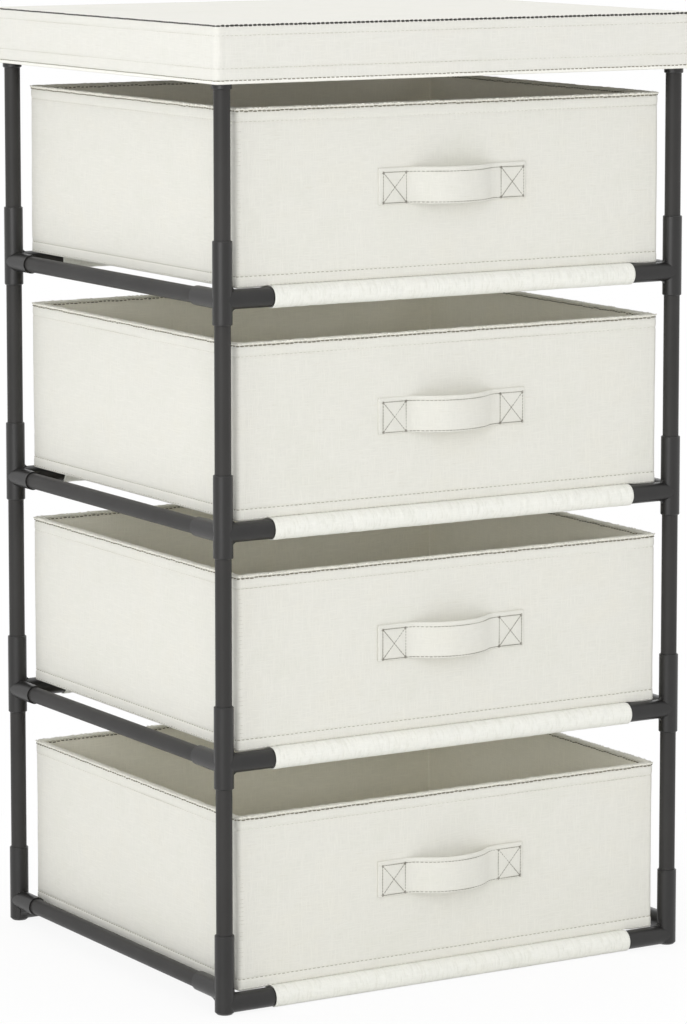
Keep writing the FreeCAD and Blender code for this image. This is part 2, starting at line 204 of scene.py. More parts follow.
def woven(name, colour, depth=0.12, contrast=0.05, thread=0.9, gathers=0.0):
    """Cloth with uneven crossing threads, faint slubs and slow patches of colour, and with gathers, streaks
    of painted shade for the creases.
    """
    paint = Paint(name, roughness=0.92, specular=0.18, sheen=0.12)
    long = thread * THREAD_RUN
    deep = thread * THREAD_BLUR
    level = paint.noise((long, long, thread))
    upright = paint.noise((thread, thread, long))
    along_x = paint.noise((long, thread, deep))
    along_y = paint.noise((thread, long, deep))
    facing = paint.add("SeparateXYZ")
    paint.link(paint.add("TexCoord").outputs["Normal"], facing.inputs[0])
    lying = paint.math("GREATER_THAN", paint.math("ABSOLUTE", facing.outputs[2]), LYING)
    wall = paint.math("MAXIMUM", level, upright)
    ground = paint.math("MAXIMUM", along_x, along_y)
    on_walls = paint.math("MULTIPLY", wall, paint.math("SUBTRACT", 1.0, lying))
    weave = paint.math("ADD", on_walls, paint.math("MULTIPLY", ground, lying))
    tones = [shade(colour, 1 - contrast), shade(colour, 1 + contrast * 0.35)]
    threads = paint.ramp(weave, 0.38, 0.74, tones)
    cast = paint.ramp(paint.noise(PATCH_SIZE, detail=3.0), 0.3, 0.7, PATCH_CASTS)
    slubs = paint.ramp(paint.noise(SLUB_SIZE, detail=1.0), 0.68, 0.8, [PLAIN, SLUB])
    tint = paint.multiply(paint.multiply(threads, cast), slubs)
    # With gathers, fine streaks are darkened in the colour: painted shade for the creases of gathered
    # cloth.
    if gathers:
        crease_shade = (1 - gathers, 1 - gathers, 1 - gathers * 1.2, 1)
        painted_crease_shade = paint.ramp(paint.noise(CREASE_SHADE_SIZE, detail=1.0), 0.5, 0.72, [PLAIN, crease_shade])
        tint = paint.multiply(tint, painted_crease_shade)
    paint.colour(tint)
    paint.relief(weave, depth)
    return paint.material


def spun(name, colour):
    """Sewing thread, with its twist."""
    paint = Paint(name, roughness=0.7, specular=0.3, sheen=0.2)
    twist = paint.noise((0.5, 0.5, 0.5), detail=1.0)
    paint.colour(paint.ramp(twist, 0.3, 0.7, [shade(colour, 0.72), shade(colour, 1.15)]))
    paint.relief(twist, 0.08)
    return paint.material


def coated_steel():
    """Powder coat on tube: fine orange peel, slightly uneven gloss and rare pale specks."""
    paint = Paint("tube_powder_coat", roughness=0.44, specular=0.17)
    peel = paint.noise((0.9, 0.9, 0.9), detail=2.0)
    slow = paint.noise((35.0, 35.0, 60.0), detail=2.0)
    base = srgb(57, 56, 55)
    tone = paint.ramp(slow, 0.3, 0.7, [shade(base, 0.9), shade(base, 1.1)])
    specks = paint.ramp(paint.noise((1.6, 1.6, 2.4), detail=3.0), 0.74, 0.8, [PLAIN, (1.25, 1.24, 1.22, 1)])
    paint.colour(paint.multiply(tone, specks))
    paint.uneven_gloss(peel, 0.38, 0.5)
    paint.relief(peel, 0.03)
    return paint.material


def moulded_plastic():
    """Moulded polypropylene: satin, a fine spark-eroded grain and faint flow marks."""
    paint = Paint("connector_plastic", roughness=0.36, specular=0.5)
    grain = paint.noise((0.35, 0.35, 0.35), detail=3.0, roughness=0.7)
    flow = paint.noise((9.0, 9.0, 22.0), detail=3.0)
    base = srgb(31, 30, 29)
    paint.colour(paint.ramp(flow, 0.3, 0.7, [shade(base, 0.86), shade(base, 1.12)]))
    paint.uneven_gloss(flow, 0.31, 0.41)
    paint.relief(grain, 0.04)
    return paint.material


def pressed_board():
    """Raw greyboard: short fibres in grey and straw, and a few dark flecks."""
    paint = Paint("greyboard", roughness=0.85, specular=0.2)
    fibres = paint.noise((5.0, 0.7, 0.7), detail=3.0)
    crossed = paint.noise((0.7, 4.0, 0.9), detail=3.0)
    both = paint.math("MULTIPLY", paint.math("ADD", fibres, crossed), 0.5)
    tones = [srgb(160, 152, 136), srgb(202, 195, 179), srgb(217, 211, 197)]
    flecks = paint.ramp(paint.noise((1.1, 1.1, 1.1), detail=2.0), 0.7, 0.78, [PLAIN, (0.55, 0.5, 0.45, 1)])
    paint.colour(paint.multiply(paint.ramp(both, 0.3, 0.68, tones), flecks))
    paint.relief(both, 0.1)
    return paint.material


cloth = woven("basket_cloth", srgb(231, 230, 222))
# The lining is painted much lighter than the outer cloth: painted light for the baskets' shaded insides.
lining = woven("basket_lining", srgb(250, 247, 233), contrast=0.06)
tape = woven("rim_tape", srgb(240, 238, 226), thread=0.6, contrast=0.07, depth=0.1)
webbing = woven("strap_webbing", srgb(229, 228, 220), thread=0.7, contrast=0.05)
# The shelf cloth is painted lighter than the baskets' cloth: painted light for its sleeves, which face down
# and out.
# gathers paints shade into the shelf cloth in fine streaks, for its creases.
shelf_cloth = woven("shelf_cloth", srgb(242, 242, 235), thread=0.8, depth=0.15, contrast=0.06, gathers=0.07)
lid_cloth = woven("lid_cloth", srgb(232, 231, 224), contrast=0.045)
hem_cloth = woven("lid_hem", srgb(249, 248, 241), thread=0.6, contrast=0.05)
pale_thread = spun("thread_cream", srgb(212, 210, 198))
white_thread = spun("thread_white", srgb(251, 248, 232))
soft_thread = spun("thread_sand", srgb(178, 175, 160))
dark_thread = spun("thread_grey", srgb(120, 115, 97))
strap_thread = spun("thread_strap", srgb(146, 143, 132))
edge_thread = spun("thread_charcoal", srgb(50, 48, 43))
steel = coated_steel()
plastic = moulded_plastic()
board = pressed_board()


# Mesh making

THREAD_SIDES = 5
# Rings along a stitch: the way along it, the height over the cloth, and the thickness.
# The first is a share of its length, the other two of its radius.
STITCH_RINGS = (
    (-0.5, -0.9, 0.45), (-0.3, 0.25, 0.95), (0.0, 0.5, 1.0), (0.3, 0.25, 0.95), (0.5, -0.9, 0.45),
)


class Skin:
    """Points and faces of one mesh, in millimetres. A face's tag is the number of its material."""

    def __init__(self):
        self.points = []
        self.faces = []
        self.tags = []

    def face(self, corners, tag):
        self.faces.append(corners)
        self.tags.append(tag)

    def rows(self, rows, tags=None, closed=True, join_ends=False, caps=(False, False)):
        """Quads between rows of points. tags gives each strip's material."""
        count = len(rows[0])
        start = len(self.points)
        for row in rows:
            self.points.extend(row)
        strips = len(rows) if join_ends else len(rows) - 1
        for strip in range(strips):
            tag = tags[strip] if tags else 0
            low = start + strip * count
            high = start + (strip + 1) % len(rows) * count
            for column in range(count if closed else count - 1):
                after = (column + 1) % count
                self.face((low + column, low + after, high + after, high + column), tag)
        last = start + (len(rows) - 1) * count
        if caps[0]:
            self.face(tuple(start + index for index in reversed(range(count))), tags[0] if tags else 0)
        if caps[1]:
            self.face(tuple(last + index for index in range(count)), tags[-1] if tags else 0)

    def stitch(self, middle, along, out, length, radius, tag):
        """One stitch: a short thread that dips into the cloth at both ends."""
        side = along.cross(out)
        start = len(self.points)
        for share, lift, size in STITCH_RINGS:
            centre = middle + along * (share * length) + out * (lift * radius)
            reach = radius * size
            for turn in range(THREAD_SIDES):
                angle = turn * math.tau / THREAD_SIDES
                way = side * (math.cos(angle) * reach)
                self.points.append(centre + way + out * (math.sin(angle) * reach))
        for ring in range(len(STITCH_RINGS) - 1):
            low = start + ring * THREAD_SIDES
            high = low + THREAD_SIDES
            for turn in range(THREAD_SIDES):
                after = (turn + 1) % THREAD_SIDES
                self.face((low + turn, high + turn, high + after, low + after), tag)
        last = len(self.points) - 1
        self.face(tuple(start + turn for turn in range(THREAD_SIDES)), tag)
        self.face(tuple(last - turn for turn in range(THREAD_SIDES)), tag)

    def piece(self, name, materials, body, slot, *replaced):
        """The mesh as an object that rides on a body, in place of the CAD nodes named last."""
        mesh = bpy.data.meshes.new(name)
        mesh.from_pydata([tuple(v * MM for v in point) for point in self.points], [], self.faces)
        for material in materials:
            mesh.materials.append(material)
        mesh.polygons.foreach_set("material_index", self.tags)
        mesh.polygons.foreach_set("use_smooth", [True] * len(self.faces))
        mesh.update()
        made = bpy.data.objects.new(name, mesh)
        bpy.context.scene.collection.objects.link(made)
        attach(made, body)
        if replaced:
            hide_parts(*replaced)
        return made


# Points this far in from the ends of a straight side, close together where a corner's seam lies
SEAM_LEADS = (0.0, 1.2, 2.2, 2.9, 3.6, 4.3, 5.4, 8.0)
CORNER_STEPS = 5
IN_CORNER = -1.0


class Outline:
    """A rounded rectangle seen from above, with the same count of points for every size.

    A place is a point, its outward direction, and how far it is from the end of its straight side.
    """

    def __init__(self, half_x, half_y, middle, radius, splits):
        self.places = []
        for side in range(4):
            turn = side * math.pi / 2
            out = Vector((math.sin(turn), -math.cos(turn), 0))
            along = Vector((math.cos(turn), math.sin(turn), 0))
            reach = (half_y, half_x)[side % 2]
            half = (half_x, half_y)[side % 2] - radius
            centre = Vector(middle) + out * reach
            inner = half - SEAM_LEADS[-1]
            ways = [-half + lead for lead in SEAM_LEADS[:-1]]
            count = splits[side % 2]
            ways += [-inner + inner * 2 * index / count for index in range(count + 1)]
            ways += [half - lead for lead in reversed(SEAM_LEADS[:-1])]
            for way in ways:
                self.places.append((centre + along * way, out, half - abs(way)))
            pivot = centre + along * half - out * radius
            for index in range(1, CORNER_STEPS):
                angle = index / CORNER_STEPS * math.pi / 2
                way = out * math.cos(angle) + along * math.sin(angle)
                self.places.append((pivot + way * radius, way, IN_CORNER))

    def row(self, z, push=0.0, shape=None):
        """The outline's points at this height, pushed outward, and shaped by a function of place."""
        points = []
        for place, out, lead in self.places:
            point = Vector((place.x, place.y, z))
            more = shape(point, out, lead) if shape else 0.0
            points.append(point + out * (push + more))
        return points

    def ways(self):
        """The way round to each point, and at last the whole way."""
        ways = [0.0]
        for index in range(len(self.places)):
            here = self.places[index][0]
            after = self.places[(index + 1) % len(self.places)][0]
            ways.append(ways[-1] + (after - here).length)
        return ways

    def steps(self, pitch):
        """Evenly spaced places round it: point, direction and outward normal."""
        ways = self.ways()
        count = round(ways[-1] / pitch)
        made = []
        index = 0
        for number in range(count):
            way = (number + 0.5) * ways[-1] / count
            while ways[index + 1] < way:
                index += 1
            here = self.places[index]
            after = self.places[(index + 1) % len(self.places)]
            share = (way - ways[index]) / max(ways[index + 1] - ways[index], 1e-6)
            out = here[1].lerp(after[1], share).normalized()
            made.append((here[0].lerp(after[0], share), Vector((-out.y, out.x, 0)), out))
        return made


def between(outer, inner, share, z, shape=None):
    """A row of points part of the way from one outline to another."""
    points = []
    for (far, out, _), (near, _, _) in zip(outer.places, inner.places):
        point = far.lerp(near, share)
        point.z = z
        if shape:
            aside, up = shape(point)
            point += out * aside
            point.z += up
        points.append(point)
    return points


STITCH_PITCH = 3.7
STITCH_SPREAD = (0.9, 1.06)
FACING = 0.9             # a side whose normal points this much one way faces that way


def seam_round(skin, outline, thread, z, push, length, radius, pitch=STITCH_PITCH,
               wander=0.12, tilt=0.0, slim=1.0, short=1.0, sides_only=False):
    """Stitches round an outline, raised or sunk by push and uneven in height by wander.

    slim and short are their thickness and length on the left and right, as shares.
    """
    lift = Vector((0, 0, tilt))
    for place, along, out in outline.steps(pitch):
        if sides_only and abs(out.x) < FACING:
            continue
        middle = Vector((place.x, place.y, z + random.uniform(-wander, wander))) + out * push
        face = (out + lift).normalized()
        ahead = step(abs(out.y), FACING, 1.0)
        size = radius * (slim + (1 - slim) * ahead)
        reach = length * (short + (1 - short) * ahead) * random.uniform(*STITCH_SPREAD)
        skin.stitch(middle, along, face, reach, size, thread)


# Baskets

WALL = 4.0
CORNER = 3.0
LINING_CORNER = 1.0
BASE_CORNER = 2.0
WALL_SPLITS = (40, 34)   # strips along the front and along a side

RIM_TAPE = 0.5
RIM_INNER_CORNER = 0.6
RIM_SPLITS = (190, 165)
RIM_SEAM_DROP = 1.9
RIM_EDGE_DROP = 0.8      # the cloth's turned edge lies this far below the rim
TOP_STITCH_DROP = 10.0
BOTTOM_STITCH = 7.0
HEM_STITCH = 1.4

WALL_SWELL = 0.35
WALL_RIPPLE = 0.12
TOP_STITCH_SINK = 0.4
BOTTOM_STITCH_SINK = 0.45
RIM_SEAM_SINK = 0.5
FOLD_RISE = 0.22         # the cloth is double between its stitches and its edges
CORNER_SEAM_SINK = 0.08
LINING_SWELL = 0.3
LINING_SEAM_RISE = 0.5

HEM_REACH = 6
HEM_SAG = 1.1
HEM_SAG_ENDS = 0.18

# Rows of points on a wall: up from the floor, evenly to a height, and down from the rim
WALL_LOW_ROWS = [1.3, 3.0, 5.0, 6.0, 6.6, 7.0, 7.4, 8.0, 9.2, 12, 18]
WALL_EVEN_TOP = 98
WALL_EVEN_ROWS = 9
WALL_TOP_ROWS = (19, 15, 12, 11, 10.4, 10, 9.6, 9, 7.6, 5, 3.6, 2.9, 2.5, 2.0, 1.2)
LINING_ROWS = [1.2, 2.0, 2.6, 3.2, 4.0, 6, 12] + [20 + index * 14 for index in range(7)]


def wall_relief(floor, rim, seed):
    """How far the outer cloth of a basket stands out from its plane."""
    top_stitch = rim - TOP_STITCH_DROP
    seam = rim - RIM_SEAM_DROP

    def relief(point, out, lead):
        height = point.z - floor
        push = drift(point.x, point.y, point.z, 70, seed) * WALL_SWELL
        push += drift(point.x, point.y, point.z, 24, seed) * WALL_RIPPLE
        push *= step(height, 0.5, 20) * step(rim - point.z, 2, 14)
        sink = TOP_STITCH_SINK * bump(point.z, top_stitch, 0.8)
        push -= sink + BOTTOM_STITCH_SINK * bump(height, BOTTOM_STITCH, 0.8)
        push -= RIM_SEAM_SINK * bump(point.z, seam - 0.7, 0.7)
        push += FOLD_RISE * step(point.z, top_stitch, top_stitch + 2) * step(seam - point.z, 0.5, 2)
        push += FOLD_RISE * step(BOTTOM_STITCH - height, 0, 2)
        if lead >= 0:
            push -= CORNER_SEAM_SINK * bump(lead, 3.4, 1.5) * step(height, 0, 4)
        return push

    return relief


def lining_relief(floor, rim, seed):
    """How far a basket's lining stands out from its plane, toward the wall."""
    def relief(point, out, lead):
        push = drift(point.x, point.y, point.z, 60, seed + 5) * LINING_SWELL
        push *= step(point.z - floor, 4, 20) * step(rim - point.z, 4, 14)
        return push + LINING_SEAM_RISE * bump(rim - point.z, 3.2, 0.8)
    return relief


def basket_outlines(number):
    """A basket's outer and inner outline, their middle, and half its width and depth."""
    half_x, half_y, middle = plan(*box_mm("basket_%d_cover" % number))
    outer = Outline(half_x, half_y, middle, CORNER, WALL_SPLITS)
    inner = Outline(half_x - WALL, half_y - WALL, middle, LINING_CORNER, WALL_SPLITS)
    return outer, inner, middle, half_x, half_y


def basket_heights(number):
    """A basket's underside and the top of its rim."""
    floor = box_mm("basket_%d_cover" % number)[0][2]
    rim = box_mm("basket_%d_rim_binding" % number)[1][2]
    return floor, rim


def hang_hem(rows, floor, shelf_end, middle, half_y):
    """The walls' lower edge sags where it passes the ends of the shelf, most at the front and rear."""
    for row in rows:
        for point in row:
            share = step(floor + HEM_REACH - point.z, 0, HEM_REACH)
            share *= step(abs(point.x), shelf_end + 1, shelf_end + 9)
            ends = step(abs(point.y - middle[1]), half_y - 3, half_y - 0.6)
            point.z -= (HEM_SAG + HEM_SAG_ENDS * ends) * share


def basket_cloth(number):
    """The sewn box: outer cloth, turned over the boards and down inside as lining."""
    outer, inner, middle, half_x, half_y = basket_outlines(number)
    floor, rim = basket_heights(number)
    inside_floor = box_mm("basket_%d_base_board" % number)[0][2]
    shelf_end = box_mm("cloth_shelf_%d" % number)[1][0]
    shape = wall_relief(floor, rim, number * 3.1)
    inside = lining_relief(floor, rim, number * 3.1)
    rows = []
    for inset in (60.0, 20.0, 5.0):
        smaller = Outline(half_x - inset, half_y - inset, middle, CORNER, WALL_SPLITS)
        rows.append(smaller.row(floor + 0.06))
    rows.append(outer.row(floor + 0.02, -0.3))
    rows.append(outer.row(floor + 0.15, 0.0))
    low = WALL_LOW_ROWS[-1]
    climb = WALL_EVEN_TOP - low
    heights = list(WALL_LOW_ROWS)
    heights += [low + climb * index / WALL_EVEN_ROWS for index in range(1, WALL_EVEN_ROWS + 1)]
    heights += [rim - floor - drop for drop in WALL_TOP_ROWS]
    for height in heights:
        rows.append(outer.row(floor + height, 0, shape))
    hang_hem(rows[2:], floor, shelf_end, middle, half_y)
    outer_strips = len(rows)
    rows.append(between(outer, inner, 0.3, rim - RIM_EDGE_DROP))
    rows.append(between(outer, inner, 0.7, rim - RIM_EDGE_DROP))
    for drop in LINING_ROWS:
        rows.append(inner.row(rim - drop, 0, inside))
    rows.append(inner.row(inside_floor + 1.0))
    rows.append(inner.row(inside_floor, -1.0))
    for inset in (WALL + 20.0, WALL + 70.0):
        smaller = Outline(half_x - inset, half_y - inset, middle, LINING_CORNER, WALL_SPLITS)
        rows.append(smaller.row(inside_floor))
    tags = [0 if strip < outer_strips else 1 for strip in range(len(rows) - 1)]
    skin = Skin()
    skin.rows(rows, tags, caps=(True, True))
    body = "basket_%d" % number
    skin.piece(body + "_cloth", [cloth, lining], body, "fabric", body + "_cover")


def basket_base(number):
    """The covered board on a basket's floor, with soft edges and a slight crown."""
    body = "basket_%d" % number
    node = body + "_base_board"
    low, high = box_mm(node)
    half_x, half_y, middle = plan(low, high)
    height = high[2] - low[2]
    skin = Skin()
    rows = []
    # Inset from the edge and height, from the underside over the edge to the middle
    profile = [(40, 0.04), (2, 0.04), (0.5, 0.3), (0.0, height / 2), (0.5, height - 0.35), (1.6, height)]
    profile += [(4, height + 0.1), (12, height + 0.25), (30, height + 0.35)]
    profile += [(60, height + 0.4), (100, height + 0.4)]
    for inset, up in profile:
        ring = Outline(half_x - inset, half_y - inset, middle, BASE_CORNER, WALL_SPLITS)
        points = ring.row(low[2] + up)
        if up > height:
            for point in points:
                point.z += drift(point.x, point.y, 0, 45, number) * 0.2
        rows.append(points)
    skin.rows(rows, caps=(True, True))
    skin.piece(body + "_base", [lining], body, "fabric", node)


# The rolled tape: share of the way from outside to inside, and height, to the top of the roll
HALF_ROLL = [(0.10, 0.02), (0.02, 0.3), (0.0, 0.75), (0.04, 1.25), (0.16, 1.68)]
HALF_ROLL += [(0.34, 1.86), (0.5, 1.9)]
ROLL_HEIGHT = HALF_ROLL[-1][1]
ROLL = 0.4
ROLL_PERIOD = 3.7
ROLL_SLOW = 0.14
ROLL_WAVE = 0.16


def basket_rim(number):
    """The rolled tape over the rim, a little uneven along its length."""
    body = "basket_%d" % number
    node = body + "_rim_binding"
    low, high = box_mm(node)
    half_x, half_y, middle = plan(low, high)
    width = WALL + RIM_TAPE * 2
    outer = Outline(half_x, half_y, middle, CORNER + RIM_TAPE, RIM_SPLITS)
    inner = Outline(half_x - width, half_y - width, middle, RIM_INNER_CORNER, RIM_SPLITS)
    seed = number * 7.7
    drop = high[2] - low[2]
    profile = HALF_ROLL + [(1 - share, up) for share, up in reversed(HALF_ROLL[:-1])]
    rows = []
    for share, up in profile:
        def shape(point, up=up, share=share):
            roll = drift(point.x, point.y, share * 9, ROLL_PERIOD, seed) * ROLL
            roll += drift(point.x, point.y, 0, 16, seed) * ROLL_SLOW
            side = 1 if share < 0.5 else -1
            rise = drift(point.x, point.y, 4, 6, seed) * ROLL_WAVE + roll * 0.5
            return roll * side, rise * step(up, 0.4, 1.6)
        rows.append(between(outer, inner, share, low[2] + up * drop / ROLL_HEIGHT, shape))
    skin = Skin()
    skin.rows(rows, join_ends=True)
    skin.piece(body + "_rim", [tape], body, "fabric", node)


RIM_BEAD_DROP = 0.95
LINING_STITCH_PITCH = 3.6
LINING_BEAD_RISE = 1.5
CORNER_TICK_INSET = 2.9
CORNER_TICK_STEPS = (2.9, 2.9, 3.2, 5.8)


def lining_stitches(skin, inner, rim, dark, white):
    """Dark stitches under the rim's inner edge, and a row of white ones above them."""
    for place, along, out in inner.steps(LINING_STITCH_PITCH):
        spot = Vector((place.x, place.y, rim - RIM_SEAM_DROP - 0.8)) - out * 0.1
        spot.z += random.uniform(-0.3, 0.3)
        skin.stitch(spot, along, -out, random.uniform(2.0, 3.2), 0.4, dark)
        bead = spot + Vector((0, 0, LINING_BEAD_RISE)) - out * 0.3
        skin.stitch(bead, along, -out, 2.8, 0.45, white)


def corner_seam(skin, floor, rim, middle, half_x, half_y, thread):
    """The upright seam of short level stitches at the front left corner."""
    height = floor + 9
    out = Vector((0, -1, 0))
    while height < rim - 12:
        reach = half_x - CORNER_TICK_INSET + random.uniform(-0.5, 0.5)
        spot = Vector((middle[0] - reach, middle[1] - half_y, height))
        skin.stitch(spot - out * 0.22, Vector((1, 0, 0)), out, random.uniform(3.2, 4.6), 0.17, thread)
        height += random.choice(CORNER_TICK_STEPS)


def basket_thread(number):
    """The rows of stitches in a basket's walls, and the one upright seam."""
    outer, inner, middle, half_x, half_y = basket_outlines(number)
    floor, rim = basket_heights(number)
    pale, soft, dark, white = range(4)
    skin = Skin()
    seam_round(skin, outer, dark, rim - RIM_SEAM_DROP - 0.6, push=-0.1, length=3.4, radius=0.45,
               wander=0.3, short=0.72)
    seam_round(skin, outer, white, rim - RIM_BEAD_DROP, push=0.3, length=3.2, radius=0.66,
               wander=0.35, tilt=0.9, short=0.85)
    seam_round(skin, outer, pale, rim - TOP_STITCH_DROP, push=-0.42, length=2.9, radius=0.22)
    seam_round(skin, outer, soft, floor + BOTTOM_STITCH, push=-0.42, length=2.7, radius=0.29,
               slim=1.25, short=0.8)
    seam_round(skin, outer, soft, floor + HEM_STITCH - HEM_SAG, push=0.2, length=2.6, radius=0.3,
               wander=0.25, short=0.8, sides_only=True)
    seam_round(skin, outer, white, floor + 0.15, push=0.0, length=3.0, radius=0.36, wander=0.05)
    lining_stitches(skin, inner, rim, dark, white)
    corner_seam(skin, floor, rim, middle, half_x, half_y, pale)
    body = "basket_%d" % number
    skin.piece(body + "_thread", [pale_thread, soft_thread, dark_thread, white_thread], body, "fabric")


# Straps

STRAP_THICK = 1.5
STRAP_BOW_HALF = 40.2
STRAP_ROOT = 18.0
STRAP_EDGE = 2.4
STRAP_COLUMNS = 84
STRAP_END = 0.5          # the end's rounding
# The sewing lies low and to the right on the strap
SEWN_DOWN = 1.1
SEWN_RIGHT = 1.0
BOX_NEAR = 0.55
BOX_WIDTH = 19.65
# Rows of points on the strap's face, in from its edge, and on its back
STRAP_FACE_ROWS = (0.15, 0.6, 1.0, 1.3, 1.7, 2.3, 3.0, 3.5, 3.9, 4.6, 6.5, 9.5)
STRAP_BACK_ROWS = (0.05, 0.8)


def bow(way, bulge):
    """How far the strap's middle line bows out at this way along it, and its slope."""
    squares = STRAP_BOW_HALF ** 2 + bulge ** 2
    crown = squares / (bulge * 2) - STRAP_ROOT
    sine = STRAP_BOW_HALF * bulge * 2 / squares
    joint = crown * sine
    side = abs(way)
    sign = 1 if way > 0 else -1
    if side >= STRAP_BOW_HALF:
        return 0.0, 0.0
    if side > joint:
        run = STRAP_BOW_HALF - side
        root = math.sqrt(STRAP_ROOT ** 2 - run ** 2)
        return STRAP_ROOT - root, -sign * run / root
    drop = math.sqrt(crown ** 2 - side ** 2)
    return bulge - crown + drop, -sign * side / drop


class Strap:
    """One strap's sizes, and places on it."""

    def __init__(self, number):
        low, high = box_mm("basket_%d_handle" % number)
        self.centre_x = (low[0] + high[0]) / 2
        self.centre_z = (low[2] + high[2]) / 2
        self.half_long = (high[0] - low[0]) / 2
        self.half_high = (high[2] - low[2]) / 2
        self.face_y = high[1] - STRAP_THICK / 2
        self.bulge = high[1] - low[1] - STRAP_THICK
        self.line = self.half_high - STRAP_EDGE

    def place(self, way, z, lift):
        """The point at this way and height, lifted off its middle line, and the directions there."""
        out, slope = bow(way, self.bulge)
        size = math.hypot(1, slope)
        normal = Vector((-slope / size, -1 / size, 0))
        along = Vector((1 / size, -slope / size, 0))
        point = Vector((self.centre_x + way, self.face_y - out, self.centre_z + z)) + normal * lift
        return point, along, normal

    def sewn_relief(self, way, z):
        """How far the face rises past its edge stitches, and sinks at the stitches and boxes."""
        sewn = z + SEWN_DOWN
        edge = self.half_high - abs(z)
        lift = 0.3 * step(edge, 0, 1) * step(abs(sewn) - self.line, 0.1, 1)
        lift -= 0.28 * bump(abs(sewn), self.line, 0.45)
        in_box = abs(way - SEWN_RIGHT) - STRAP_BOW_HALF - BOX_NEAR
        if -0.5 < in_box < BOX_WIDTH + 0.5 and abs(sewn) < self.line:
            lift -= 0.16 * bump(in_box, 0, 0.5) + 0.16 * bump(in_box, BOX_WIDTH, 0.5)
            slant = (in_box / BOX_WIDTH * 2 - 1) * self.line
            lift -= 0.22 * max(bump(sewn, slant, 1.0), bump(sewn, -slant, 1.0))
        return lift


def strap_webbing(number, strap):
    """The strap itself, turned under along both edges."""
    half_long, half_high = strap.half_long, strap.half_high
    seed = number * 2.3
    straight = half_long * 2 - STRAP_END * 2
    ways = [-half_long, -half_long + STRAP_END]
    ways += [-half_long + STRAP_END + straight * index / STRAP_COLUMNS for index in range(1, STRAP_COLUMNS)]
    ways += [half_long - STRAP_END, half_long]
    front = [half_high - gap for gap in STRAP_FACE_ROWS]
    front = front + [0.0] + [-z for z in reversed(front)]
    back = [gap - half_high for gap in STRAP_BACK_ROWS]
    back = back + [0.0] + [-z for z in reversed(back)]
    rows = []
    for way in ways:
        end = 0.6 + 0.4 * step(half_long - abs(way), 0, 0.8)
        row = []
        for z in front:
            edge = half_high - abs(z)
            lift = STRAP_THICK / 2 * (0.55 + 0.45 * step(edge, 0, 0.8)) * end
            lift += strap.sewn_relief(way, z)
            bend = drift(way, z, 0, 14, seed) * 0.18
            row.append(strap.place(way, z * (1 + 0.004 * bend), lift + bend)[0])
        for z in back:
            edge = half_high - abs(z)
            lift = -STRAP_THICK / 2 * (0.4 + 0.6 * step(edge, 0, 0.8)) * end
            row.append(strap.place(way, z, lift)[0])
        rows.append(row)
    skin = Skin()
    skin.rows(rows, caps=(True, True))
    body = "basket_%d" % number
    skin.piece(body + "_strap", [webbing], body, "fabric", body + "_handle")


def strap_sewing(number, strap):
    """Stitches: two crossed boxes, a short bar at each of their corners, and a row along each edge."""
    thread = Skin()
    line = strap.line
    sewn_from = STRAP_BOW_HALF + BOX_NEAR

    def sew(start, end, lift=0.66, pitch=2.3):
        """A row of stitches between two places, each a way along the strap and a height."""
        aside, up = end[0] - start[0], end[1] - start[1]
        run = math.hypot(aside, up)
        count = max(1, round(run / pitch))
        for index in range(count):
            share = (index + 0.5) / count
            way = start[0] + aside * share + SEWN_RIGHT
            z = start[1] + up * share - SEWN_DOWN
            spot, along, normal = strap.place(way, z, lift)
            heading = along * (aside / run) + Vector((0, 0, up / run))
            thread.stitch(spot, heading, normal, run / count * 1.02, 0.27, 0)

    for side in (-1, 1):
        near = side * sewn_from
        far = side * (sewn_from + BOX_WIDTH)
        corners = [(near, line), (far, line), (far, -line), (near, -line)]
        for index in range(4):
            sew(corners[index], corners[(index + 1) % 4])
        sew(corners[0], corners[2], lift=0.58)
        sew(corners[1], corners[3], lift=0.7)
        for corner in corners:
            for shift in (-0.5, 0.5):
                sew((corner[0] - 0.9, corner[1] + shift), (corner[0] + 0.9, corner[1] + shift))
    for z in (-line, line):
        sew((-sewn_from, z), (sewn_from, z), lift=0.54, pitch=2.6)
    body = "basket_%d" % number
    thread.piece(body + "_strap_thread", [strap_thread], body, "fabric")


def basket_strap(number):
    """The carrying strap, sewn down in two crossed boxes."""
    strap = Strap(number)
    strap_webbing(number, strap)
    strap_sewing(number, strap)


# Cloth shelves

SHELF_CLOTH = 0.6
SHELF_COLUMNS = 250
SHELF_ENDS = 0.1
PANEL_STRIPS = 9
SLEEVE_STRIPS = 26
SLEEVE_FROM = 38         # degrees round the tube, from the seam down and right round
SLEEVE_TO = 270
SLEEVE_HEM = 7.2         # the hem's stitches lie this far in from a sleeve's end
SLEEVE_HEM_FLAT = 6.4    # and it is flatter from here out
ON_PANEL = -1            # in place of an angle
# The sleeve's edge, sewn on under the panel: how far in from the tube, and down from its top
SLEEVE_EDGE = ((14, 1.5), (8, 1.4), (2.5, 2.3))


def shelf_profile(front_y, rear_y, radius):
    """The shelf's line from front to back: round one tube, across, and round the other."""
    line = []
    for edge, sign in ((front_y, 1), (rear_y, -1)):
        part = []
        for far, down in SLEEVE_EDGE:
            part.append((edge + sign * (radius + far), radius - down, ON_PANEL))
        for index in range(SLEEVE_STRIPS + 1):
            angle = math.radians(SLEEVE_FROM - (SLEEVE_FROM + SLEEVE_TO) * index / SLEEVE_STRIPS)
            y = edge + sign * radius * math.cos(angle)
            part.append((y, radius * math.sin(angle), -math.degrees(angle)))
        line.append(part)
    across = []
    for index in range(1, PANEL_STRIPS):
        share = index / PANEL_STRIPS
        across.append((front_y + (rear_y - front_y) * share, radius, ON_PANEL))
    return line[0] + across + list(reversed(line[1]))


